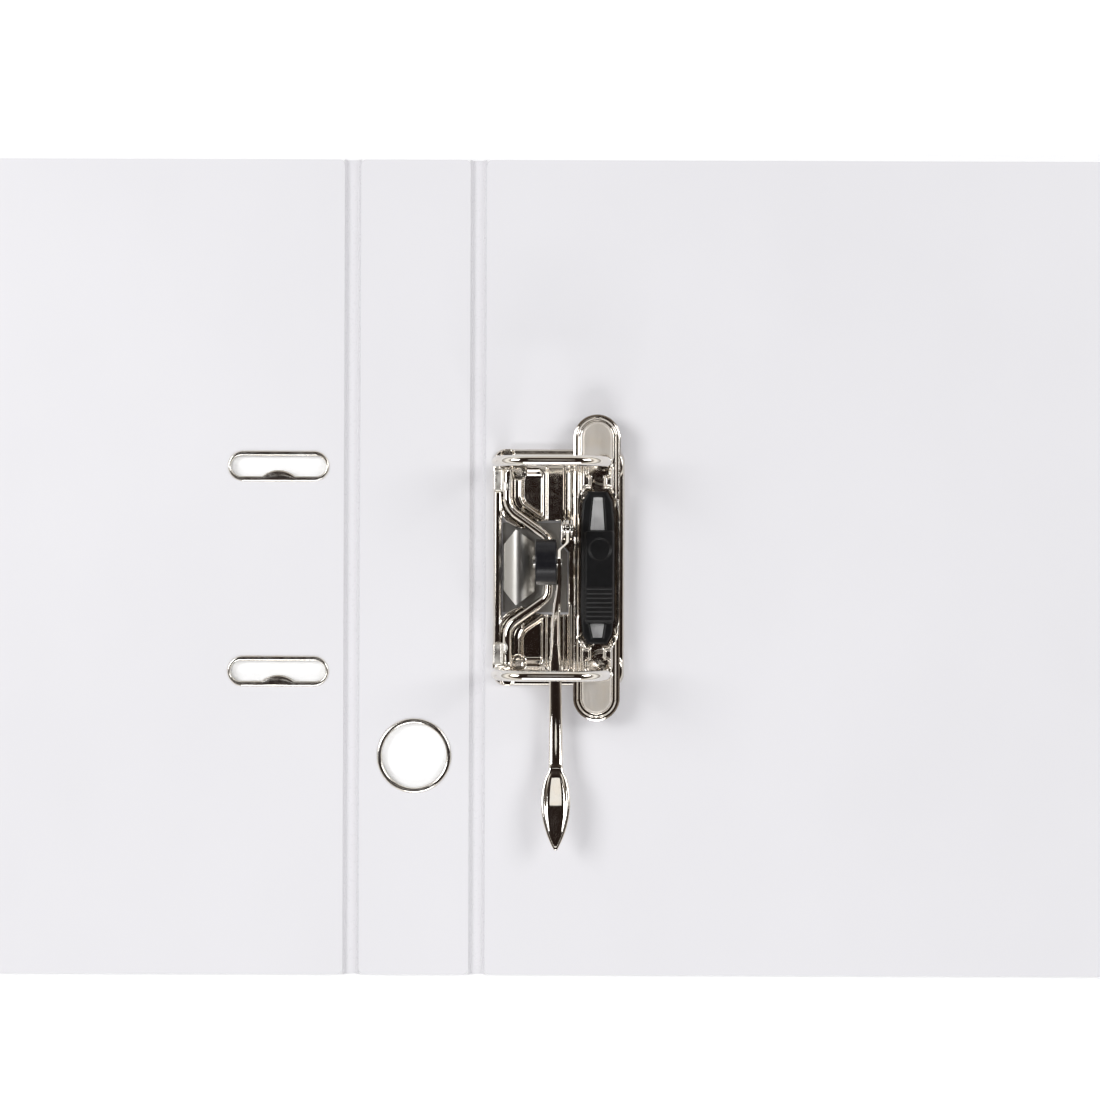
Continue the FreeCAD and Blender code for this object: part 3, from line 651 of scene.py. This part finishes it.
def bracket_cheek(name, x):
    """One upright cheek of the bracket, round at the pivot and flared at its foot."""
    outline = [(PIVOT_Y + CHEEK_R * math.cos(a), PIVOT_Z + CHEEK_R * math.sin(a))
               for a in (math.pi * k / 14 for k in range(15))]
    outline += [(PIVOT_Y - CHEEK_R, 9.0), (PIVOT_Y - 3.8, 6.6), (PIVOT_Y - 4.6, PLATE_TOP - 0.3)]
    outline += [(PIVOT_Y + 8.2, PLATE_TOP - 0.3), (PIVOT_Y + 7.0, 7.6), (PIVOT_Y + 4.4, 18.0)]
    return side_plate(name, outline, x, x + CHEEK_SHEET, "plate_metal")


make_plate()


# ================================================================ arch wire, lever and springs

PARTING_Z = 35.5
LEG_BEND_Z = 16.0
WIRE_BENDS = [12.0, 12.0, 6.0, 3.2, 8.0, 6.0]


def make_wire():
    """The one bent wire: arches, axle and crank."""
    top = WIRE_HIGH.z - WIRE_R
    half = [(ARCH_X, RING_Y, PARTING_Z), (ARCH_X, RING_Y, top), (-ARCH_X, RING_Y, top),
            (-ARCH_X, RING_Y, LEG_BEND_Z), (AXLE_X, RING_Y, AXLE_Z),
            (AXLE_X, CRANK_ROOT, AXLE_Z), (CRANK_X, CRANK_HALF, CRANK_Z)]
    other = [(x, -y, z) for x, y, z in reversed(half)]
    points = [(MID_X + x, y, z) for x, y, z in half + other]
    line = rounded_line(points, WIRE_BENDS + WIRE_BENDS[::-1], 16)
    wire = tube("bent_wire", line, WIRE_R, "wire_metal", 28)
    settle(wire, "arches", "wire_metal", "arch_wire")


make_wire()

# Along the arm: Y, then its middle X, width, middle Z and height.
ARM_ROWS = ((-3.0, 3.4, 1.5, 16.9, 3.6), (-9.0, 2.9, 2.2, 16.0, 3.6), (-16.0, 2.2, 3.0, 14.5, 3.4),
            (-22.5, 1.9, 3.7, 12.8, 3.2), (-29.0, 1.8, 4.2, 11.4, 3.0), (-42.0, 1.8, 4.8, 10.0, 2.6),
            (-56.0, 2.0, 5.1, 10.0, 2.4), (-66.0, 2.1, 5.3, 10.7, 2.4), (-73.5, 2.1, 5.4, 11.7, 2.3),
            (-77.0, 2.1, 5.6, 12.4, 2.3))
ARM_Y0 = -3.0
ARM_STEPS = 64
RING_POINTS = 40
PAD_Y0, PAD_Y1 = -76.5, -108.6
PAD_X, PAD_Z = 2.1, 12.5
PAD_STEPS = 56
PAD_PITCH = math.radians(7)
PAD_WIDE, NECK_WIDE, TIP_WIDE = 11.4, 5.6, 0.9
NECK_END, TIP_START = 0.16, 0.97
PAD_THICK = 2.3
PAD_RIM = 0.9
DISH = 0.95


def row_at(y):
    """Arm's middle X, width, middle Z and height at a place along it, smoothly between rows."""
    rows = ARM_ROWS
    i = next((k for k in range(len(rows) - 1) if rows[k][0] >= y >= rows[k + 1][0]), len(rows) - 2)
    before, after = rows[max(i - 1, 0)], rows[min(i + 2, len(rows) - 1)]
    a, b = rows[i], rows[i + 1]
    t = (y - a[0]) / (b[0] - a[0])
    out = []
    for k in range(1, 5):
        m0 = (b[k] - before[k]) / (b[0] - before[0]) * (b[0] - a[0])
        m1 = (after[k] - a[k]) / (after[0] - a[0]) * (b[0] - a[0])
        out.append((2 * t ** 3 - 3 * t ** 2 + 1) * a[k] + (t ** 3 - 2 * t ** 2 + t) * m0
                   + (3 * t ** 2 - 2 * t ** 3) * b[k] + (t ** 3 - t ** 2) * m1)
    return out


def arm_ring(y, x, wide, z, tall, dish=0.0, power=2.3):
    """Rounded section of the lever, its top hollowed by dish."""
    ring = []
    for k in range(RING_POINTS):
        a = 2 * math.pi * k / RING_POINTS
        c, s = math.cos(a), math.sin(a)
        px = math.copysign(abs(c) ** (2 / power), c) * wide / 2
        pz = math.copysign(abs(s) ** (2 / power), s) * tall / 2
        if s > 0 and dish and wide > 2.4:
            inner = 1 - min(1.0, abs(px) / (wide / 2 - PAD_RIM))
            pz -= dish * smooth(inner * 2.6)
        ring.append((MID_X + x + px, y, z + pz))
    return ring


def pad_ring(t):
    """Section of the thumb pad, t running from 0 at its neck to 1 at its tip."""
    y = PAD_Y0 + (PAD_Y1 - PAD_Y0) * t
    wide = PAD_WIDE * math.sin(math.pi * (0.12 + 0.86 * t)) ** 0.8
    if t < NECK_END:
        wide = NECK_WIDE + (wide - NECK_WIDE) * smooth(t / NECK_END)
    tall = PAD_THICK - 8 * max(0.0, t - TIP_START)
    z = PAD_Z + math.sin(PAD_PITCH) * (PAD_Y0 - y)
    hollow = DISH * smooth((t - 0.02) / 0.12) * min(1.0, max(0.0, (TIP_START - t) / 0.5))
    return arm_ring(y, PAD_X, max(TIP_WIDE, wide), z, tall, hollow, 3.6)


def make_lever():
    """Arm running into the dished thumb pad, and the pressed cheek at its other end."""
    rings = []
    for k in range(ARM_STEPS + 1):
        y = ARM_Y0 + (PAD_Y0 - ARM_Y0) * k / ARM_STEPS
        rings.append(arm_ring(y, *row_at(y)))
    rings += [pad_ring(k / PAD_STEPS) for k in range(1, PAD_STEPS + 1)]
    arm = rings_piece("lever_arm_and_pad", [r[::-1] for r in rings], "lever_metal")
    settle(arm, "lever_arm", "lever_metal", "lever")
    settle(lever_cheek("lever_cheek"), "lever_arm", "lever_metal", "lever")


EYE_R = 3.2
CHEEK_X, CHEEK_STEP = 5.75, 3.1
ROLLER_Y = 2.2
LEVER_SHEET = 1.2


def lever_cheek(name):
    """Cheek from the pivot past the roller to the arm, stepping sideways on its way."""
    roller = node_middle("roller")
    outline = [(PIVOT_Y + EYE_R * math.cos(a), PIVOT_Z + EYE_R * math.sin(a))
               for a in (math.radians(d) for d in range(-60, 121, 15))]
    outline += [(ROLLER_Y + 1.5, roller.z + 3.6), (-6.0, 18.9), (-14.0, 16.6), (-17.0, 15.6),
                (-17.0, 13.8), (-8.0, 13.6), (ROLLER_Y, roller.z - 3.3), (8.5, 18.3)]
    return stepped_plate(name, outline, lambda y: CHEEK_X - CHEEK_STEP * smooth((10.2 - y) / 3.8),
                         LEVER_SHEET)


def node_middle(name):
    """Middle of a CAD node's box, in mm."""
    low, high = node_box(name)
    return (low + high) / 2


def stepped_plate(name, outline, lean, sheet):
    """Upright plate from an outline in Y and Z whose sheet steps sideways along Y."""
    def metal(y, z):
        return in_polygon(y, z, outline)

    ys, zs = zip(*outline)
    plate = pressed_sheet(name, (min(ys), max(ys), min(zs), max(zs)), (0.45, 0.45),
                          lambda y, z: sheet - 0.6 * crown(metal(y, z), 0.35), metal,
                          lambda y, z, top: 0.0, "lever_metal")
    for v in plate.data.vertices:
        y, z, out = v.co.x / MM, v.co.y / MM, v.co.z / MM
        v.co = Vector((MID_X + lean(y) + out, y, z)) * MM
    return plate


make_lever()

SPRING = [(-13.6, 14.8), (-6.2, 9.2), (-6.2, -9.2), (-13.6, -14.8), (-18.6, -8.6), (-18.6, 8.6)]
BOW_X0, BOW_LONG = -18.7, 12.6
TONGUE_TOP, BOW_FOOT, BOW_RISE = 4.15, 4.3, 3.55


def make_spring():
    """Bowed six-sided leaf with its tongue under the crank."""
    def bow(x, y):
        t = (x - BOW_X0) / BOW_LONG
        if t >= 1:
            return TONGUE_TOP
        return BOW_FOOT + BOW_RISE * math.sin(math.pi * (t * 0.98 + 0.01)) ** 1.15 - 0.12 * (t > 0.97)

    def metal(x, y):
        tongue = in_box(x, y, -8.0, 0.9, -4.0, 4.0, 0.8)
        return max(in_polygon(x, y, SPRING), tongue)

    leaf = pressed_sheet("spring_bow", (BOW_X0, 1.0, -14.9, 14.9), (0.4, 0.4), bow, metal,
                         lambda x, y, z: z - 0.45, "spring_steel", MID_X)
    settle(leaf, "back_cover", "spring_steel", "spring_upper_leaf")


make_spring()


# ================================================================ compressor bar and slider

BAR_X = (BAR_LOW.x + BAR_HIGH.x) / 2 - MID_X
BAR_R = (BAR_HIGH.x - BAR_LOW.x) / 2
BAR_END = BAR_HIGH.y
BAR_TOP = BAR_HIGH.z
OPENING = mirrored([(10.7, 18.0), (11.2, 26.5), (13.6, 30.8), (22.3, 30.8), (24.6, 26.5), (25.1, 18.0)])
POST_HOLE = 2.5
BAR_SHEET = 0.8


def bar_edge(x, y):
    """Distance inside the bar's round-ended outline."""
    return in_box(x, y, BAR_X - BAR_R, BAR_X + BAR_R, -BAR_END, BAR_END, BAR_R - 0.001)


def bar_hole(x, y):
    """Distance inside the bar's opening: the slider's window, a neck, and the post's hole."""
    u = abs(y)
    neck = in_box(x, u, 15.6, 20.2, 28.0, 37.0, 0.6)
    pocket = in_box(x, u, 14.4, 22.4, 35.6, 39.6, 1.0)
    hole = POST_HOLE - math.hypot(x - ARCH_X, u - RING_Y)
    return max(in_polygon(x, y, OPENING), neck, pocket, hole)


def bar_height(x, y):
    """Stepped flanks up to the flat top, and a fall into the opening."""
    d = bar_edge(x, y)
    z = BAR_TOP - 2.7
    z += 0.35 * smooth(d / 0.7) + 0.95 * smooth((d - 1.3) / 0.6) + 1.4 * smooth((d - 2.7) / 1.1)
    return z - 1 + smooth(-bar_hole(x, y) / 1.3)


def make_bar():
    """Pressed bar, and a turned-down skirt all round."""
    def metal(x, y):
        return min(bar_edge(x, y), -bar_hole(x, y))

    def under(x, y, z):
        return BAR_LOW.z + 0.05 if bar_edge(x, y) < 0.3 else z - BAR_SHEET

    span = (BAR_X - BAR_R, BAR_X + BAR_R, -BAR_END, BAR_END)
    bar = pressed_sheet("bar_pressing", span, (0.28, 0.28), bar_height, metal, under, "bar_metal", MID_X)
    flat_by_angle(bar, 0.9)
    settle(bar, "compressor", "bar_metal", "compressor_bar")


make_bar()

RAIL_OUT = mirrored([(11.5, 18.0), (12.2, 25.6), (14.3, 29.4), (21.6, 29.4), (23.6, 25.6), (24.3, 18.0)])
UPPER_PANE = [(16.3, 27.2), (19.8, 27.2), (20.6, 14.6), (15.1, 14.6)]
LOWER_PANE = [(15.1, -21.6), (20.6, -21.6), (19.8, -27.0), (16.3, -27.0)]
BLOCK = (12.8, 24.4, -21.4, 14.4)
SLIDER_LOW, SLIDER_HIGH = node_box("clamp_slider")
DIMPLE_X, DIMPLE_Y, DIMPLE_R = 18.8, 7.1, 4.4
RIBS = 8
RIBS_FROM = -7.0
RIB_PITCH = 1.74


def make_slider():
    """Moulded slider: two rails, and the thumb block with its dimple and grip ribs."""
    def metal(x, y):
        panes = max(in_polygon(x, y, UPPER_PANE), in_polygon(x, y, LOWER_PANE))
        return min(max(in_polygon(x, y, RAIL_OUT), in_box(x, y, *BLOCK, 1.4)), -panes)

    def height(x, y):
        z = SLIDER_HIGH.z - 1.65 - 1.0 * crown(metal(x, y), 0.8)
        block = in_box(x, y, *BLOCK, 1.4)
        z += (SLIDER_HIGH.z - 0.35 - z) * smooth(block / 0.5)
        into = DIMPLE_R - math.hypot(x - DIMPLE_X, y - DIMPLE_Y)
        if into > 0:
            z -= 0.65 * smooth(into / 0.5) + 0.25 * smooth(into / DIMPLE_R)
        along = (RIBS_FROM - y) / RIB_PITCH
        if 0 < along < RIBS and block > 0.3:
            wave = 0.5 - 0.5 * math.cos(2 * math.pi * along)
            z += 0.38 * wave ** 1.6 * smooth((block - 0.3) / 0.5) - 0.05
        return z

    slider = pressed_sheet("slider_moulding", (11.4, 24.5, -29.5, 29.5), (0.36, 0.22), height, metal,
                           lambda x, y, z: SLIDER_LOW.z + 0.5, "slider_plastic", MID_X)
    settle(slider, "clamp", "slider_plastic", "clamp_slider")


make_slider()


def make_strip():
    """Steel strip under the slider, its two ends bent up."""
    low, high = node_box("clamp_strip")
    span = (low.x - MID_X, high.x - MID_X, low.y, high.y)

    def metal(x, y):
        return in_box(x, y, *span, 1.0)

    def height(x, y):
        return high.z + 1.5 * smooth((abs(y) - 25.9) / 2.4) - 0.3 * crown(metal(x, y), 0.3)

    strip = pressed_sheet("strip_pressing", span, (0.5, 0.5), height, metal,
                          lambda x, y, z: z - 0.5, "strip_steel", MID_X)
    settle(strip, "compressor", "strip_steel", "clamp_strip")


make_strip()


# ================================================================ eyelets, ring and hinges

SLOT_X = node_middle("slot_backing_upper").x
SLOT_LONG, SLOT_HALF = 18.45, 3.85
EYELET_LONG, EYELET_HALF = 19.9, 6.1
EYELET = (-EYELET_LONG, EYELET_LONG, -EYELET_HALF, EYELET_HALF)
NOSE_HALF, NOSE_RISE = 6.45, 2.3
NOSE_R = (NOSE_HALF ** 2 + NOSE_RISE ** 2) / (2 * NOSE_RISE)
ROLL_RISE = 0.76
NECK_LOW = 0.4


def in_slot(x, y):
    """Distance inside the slot's opening, its nose left standing on the lower side."""
    stadium = in_box(x, y, -SLOT_LONG, SLOT_LONG, -SLOT_HALF, SLOT_HALF, SLOT_HALF - 0.001)
    return min(stadium, math.hypot(x, y + SLOT_HALF - NOSE_RISE + NOSE_R) - NOSE_R)


def make_eyelet(name, middle_y):
    """Rolled rim of a slot with its neck."""
    def rim(x, y):
        return in_box(x, y, *EYELET, EYELET_HALF - 0.001)

    def metal(x, y):
        return min(rim(x, y), -in_slot(x, y))

    def height(x, y):
        outer, inner = max(0.0, rim(x, y)), max(0.0, -in_slot(x, y))
        across = 2 * inner / max(1e-6, inner + outer) - 1
        return PANEL + 0.02 + ROLL_RISE * math.sqrt(max(0.0, 1 - across * across))

    def under(x, y, z):
        return PANEL if in_slot(x, y) < -0.5 else NECK_LOW

    eyelet = pressed_sheet(name, EYELET, (0.3, 0.22), height, metal, under, "eyelet_metal")
    for v in eyelet.data.vertices:
        v.co += Vector((SLOT_X, middle_y, 0)) * MM
    return eyelet


for place in ("upper", "lower"):
    settle(make_eyelet("slot_rim_" + place, node_middle("slot_backing_" + place).y),
           "front_cover", "eyelet_metal", "slot_eyelet_" + place)


RING_INNER = 12.5
RING_NECK = 0.5
RING_SIDES = 120
ROLL_STEPS = 12


def make_ring():
    """Finger ring's rolled rim and neck, turned about its own axis."""
    middle = node_middle("finger_ring_outer")
    low, high = node_box("finger_ring_inner")
    inner, outer = RING_INNER, (high.x - low.x) / 2
    roll_x, roll_z = (inner + outer) / 2, PANEL + 0.05
    profile = [(inner, NECK_LOW), (inner, PANEL)]
    for k in range(ROLL_STEPS + 1):
        a = math.pi * k / ROLL_STEPS
        out, up = (outer - inner) / 2 * -math.cos(a), math.sin(a) * (high.z - roll_z)
        profile.append((roll_x + out, roll_z + up))
    profile += [(outer, PANEL), (inner + RING_NECK, PANEL), (inner + RING_NECK, NECK_LOW)]
    rings = []
    for k in range(RING_SIDES):
        a = 2 * math.pi * k / RING_SIDES
        rings.append([(middle.x + r * math.cos(a), middle.y + r * math.sin(a), z) for r, z in profile])
    ring = rings_piece("finger_ring_rim", [r[::-1] for r in rings], "eyelet_metal", closed=True)
    flat_by_angle(ring)
    settle(ring, "spine", "eyelet_metal", "finger_ring_inner")


make_ring()


CHANNEL_FLANK = 1.3
CHANNEL_ACROSS, CHANNEL_ROWS = 28, 40
FILM_GAP = 0.02


def make_hinge(name, side, node):
    """Welded film channel: down from each panel's lining, flat between, and one skin deep."""
    tops, lows = [], []
    for k in range(CHANNEL_ACROSS + 1):
        x = SPINE_EDGE + FILM_GAP + (COVER_EDGE - SPINE_EDGE - 2 * FILM_GAP) * k / CHANNEL_ACROSS
        d = min(x - SPINE_EDGE, COVER_EDGE - x)
        tops.append((x, 0.42 + (PANEL - 0.45) * (1 - smooth(d / CHANNEL_FLANK))))
        lows.append((x, 0.02 + (PANEL - 0.85) * (1 - smooth((d + 0.35) / CHANNEL_FLANK))))
    outline = tops + lows[::-1]
    rings = []
    for k in range(CHANNEL_ROWS + 1):
        y = -HALF_HEIGHT + FILM_GAP + 2 * (HALF_HEIGHT - FILM_GAP) * k / CHANNEL_ROWS
        ring = [(side * x, y, z) for x, z in outline]
        rings.append(ring if side < 0 else ring[::-1])
    film = rings_piece(name, rings, "hinge_film")
    flat_by_angle(film, 1.0)
    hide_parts(node)
    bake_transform(film)


make_hinge("back_channel_film", 1, "back_hinge_strip")
make_hinge("front_channel_film", -1, "front_hinge_strip")


# ================================================================ stage, light and camera

TABLE_HALF = 3.0
TABLE_Z = -0.0004
TABLE_GLOW = 0.16


def make_floor():
    """White table top: the camera sees it white, with the object's shadow on it."""
    mesh = bpy.data.meshes.new("table_top")
    corners = [(-1, -1), (1, -1), (1, 1), (-1, 1)]
    mesh.from_pydata([(TABLE_HALF * x, TABLE_HALF * y, TABLE_Z) for x, y in corners], [], [(0, 1, 2, 3)])
    floor = bpy.data.objects.new("table_top", mesh)
    bpy.context.scene.collection.objects.link(floor)
    m = Nodes("table_look")
    m.colour(m.mix(m.range(m.noise((3, 3, 3), 2), 0, 1), (0.90, 0.90, 0.90), (0.94, 0.94, 0.94)))
    m.set(Roughness=0.7)
    path = m.add("ShaderNodeLightPath")
    gate = m.add("ShaderNodeMath", operation="MULTIPLY")
    gate.inputs[1].default_value = TABLE_GLOW
    glow = m.add("ShaderNodeEmission")
    total = m.add("ShaderNodeAddShader")
    m.link(path.outputs["Is Camera Ray"], gate.inputs[0])
    m.link(gate.outputs[0], glow.inputs["Strength"])
    m.link(m.shader.outputs[0], total.inputs[0])
    m.link(glow.outputs[0], total.inputs[1])
    m.link(total.outputs[0], m.tree.nodes["Material Output"].inputs["Surface"])
    mesh.materials.append(m.material)


# What bright metal mirrors, from the horizon at 0 up to the zenith at 1.
ROOM = ((0.0, (0.34, 0.32, 0.30)), (0.14, (0.55, 0.53, 0.50)), (0.26, (0.98, 0.96, 0.92)),
        (0.40, (0.92, 0.89, 0.84)), (0.50, (0.26, 0.225, 0.19)), (0.66, (0.07, 0.055, 0.045)),
        (0.86, (0.030, 0.021, 0.017)), (1.0, (0.016, 0.010, 0.008)))
LAMP_PATCH = (0.95, 0.92, 0.87)
BACKDROP = (0.8, 0.8, 0.8)
PATCH_TILT, PATCH_REACH = math.radians(7.5), math.radians(4.5)


def make_world():
    """Plain soft room: even light on matt surfaces, and for metal a dark ceiling over pale walls."""
    world = bpy.data.worlds.new("studio")
    bpy.context.scene.world = world
    world.use_nodes = True
    tree = world.node_tree
    tree.nodes.clear()

    link = tree.links.new

    def add(kind, **settings):
        node = tree.nodes.new(kind)
        for key, value in settings.items():
            setattr(node, key, value)
        return node

    def glow(strength, colour=(1, 1, 1)):
        node = add("ShaderNodeBackground")
        node.inputs["Color"].default_value = (*colour, 1)
        node.inputs["Strength"].default_value = strength
        return node

    def choose(ray, other, wanted):
        node = add("ShaderNodeMixShader")
        link(path.outputs[ray], node.inputs["Fac"])
        link(other.outputs[0], node.inputs[1])
        link(wanted.outputs[0], node.inputs[2])
        return node

    coords = add("ShaderNodeTexCoord")
    split = add("ShaderNodeSeparateXYZ")
    link(coords.outputs["Generated"], split.inputs[0])
    ramp = add("ShaderNodeValToRGB")
    link(split.outputs["Z"], ramp.inputs["Fac"])
    stops = ramp.color_ramp.elements
    while len(stops) < len(ROOM):
        stops.new(0.5)
    for stop, (place, colour) in zip(stops, ROOM):
        stop.position = place
        stop.color = (*colour, 1)
    patch = add("ShaderNodeVectorMath", operation="DOT_PRODUCT")
    patch.inputs[1].default_value = (0.0, math.sin(PATCH_TILT), math.cos(PATCH_TILT))
    link(coords.outputs["Generated"], patch.inputs[0])
    lit = add("ShaderNodeMapRange")
    lit.inputs["From Min"].default_value = math.cos(PATCH_REACH)
    lit.inputs["From Max"].default_value = math.cos(PATCH_REACH * 0.75)
    link(patch.outputs["Value"], lit.inputs["Value"])
    ceiling = add("ShaderNodeMix", data_type="RGBA")
    ceiling.inputs["B"].default_value = (*LAMP_PATCH, 1)
    link(lit.outputs["Result"], ceiling.inputs["Factor"])
    link(ramp.outputs["Color"], ceiling.inputs["A"])
    room = glow(1.1)
    link(ceiling.outputs["Result"], room.inputs["Color"])
    path = add("ShaderNodeLightPath")
    seen = choose("Is Glossy Ray", glow(0.42, (0.97, 0.975, 1.0)), room)
    final = choose("Is Camera Ray", seen, glow(1.0, BACKDROP))
    link(final.outputs[0], add("ShaderNodeOutputWorld").inputs["Surface"])


def make_lamp(name, place, size, power, target=(0.05, 0.0, 0.0)):
    """Square soft lamp aimed at the middle of the object."""
    data = bpy.data.lights.new(name, "AREA")
    data.shape = "RECTANGLE"
    data.size, data.size_y = size
    data.energy = power
    lamp = bpy.data.objects.new(name, data)
    lamp.location = place
    aim = Vector(target) - Vector(place)
    lamp.rotation_euler = aim.to_track_quat("-Z", "Y").to_euler()
    bpy.context.scene.collection.objects.link(lamp)


CAMERA_DISTANCE = 0.940
WIDTH_SEEN = 0.4293
SENSOR = 36.0
CAMERA_SHIFT_X, CAMERA_Y = -0.0004, 0.0068
CAMERA_ROLL = math.radians(0.2)


def make_camera():
    """Straight down on the mechanism."""
    data = bpy.data.cameras.new("camera")
    data.sensor_width = SENSOR
    data.lens = SENSOR * CAMERA_DISTANCE / WIDTH_SEEN
    camera = bpy.data.objects.new("camera", data)
    camera.location = (MID_X * MM + CAMERA_SHIFT_X, CAMERA_Y, PANEL * MM + CAMERA_DISTANCE)
    camera.rotation_euler = (0, 0, CAMERA_ROLL)
    bpy.context.scene.collection.objects.link(camera)
    bpy.context.scene.camera = camera


make_floor()
make_world()
make_lamp("left_lamp", (-0.9, 0.3, 1.1), (0.6, 0.6), 9)
make_lamp("right_lamp", (1.0, 0.4, 1.1), (0.6, 0.6), 6)
make_lamp("front_lamp", (0.1, -1.1, 0.9), (0.8, 0.4), 6)
make_camera()
bpy.context.scene.view_settings.view_transform = "Standard"
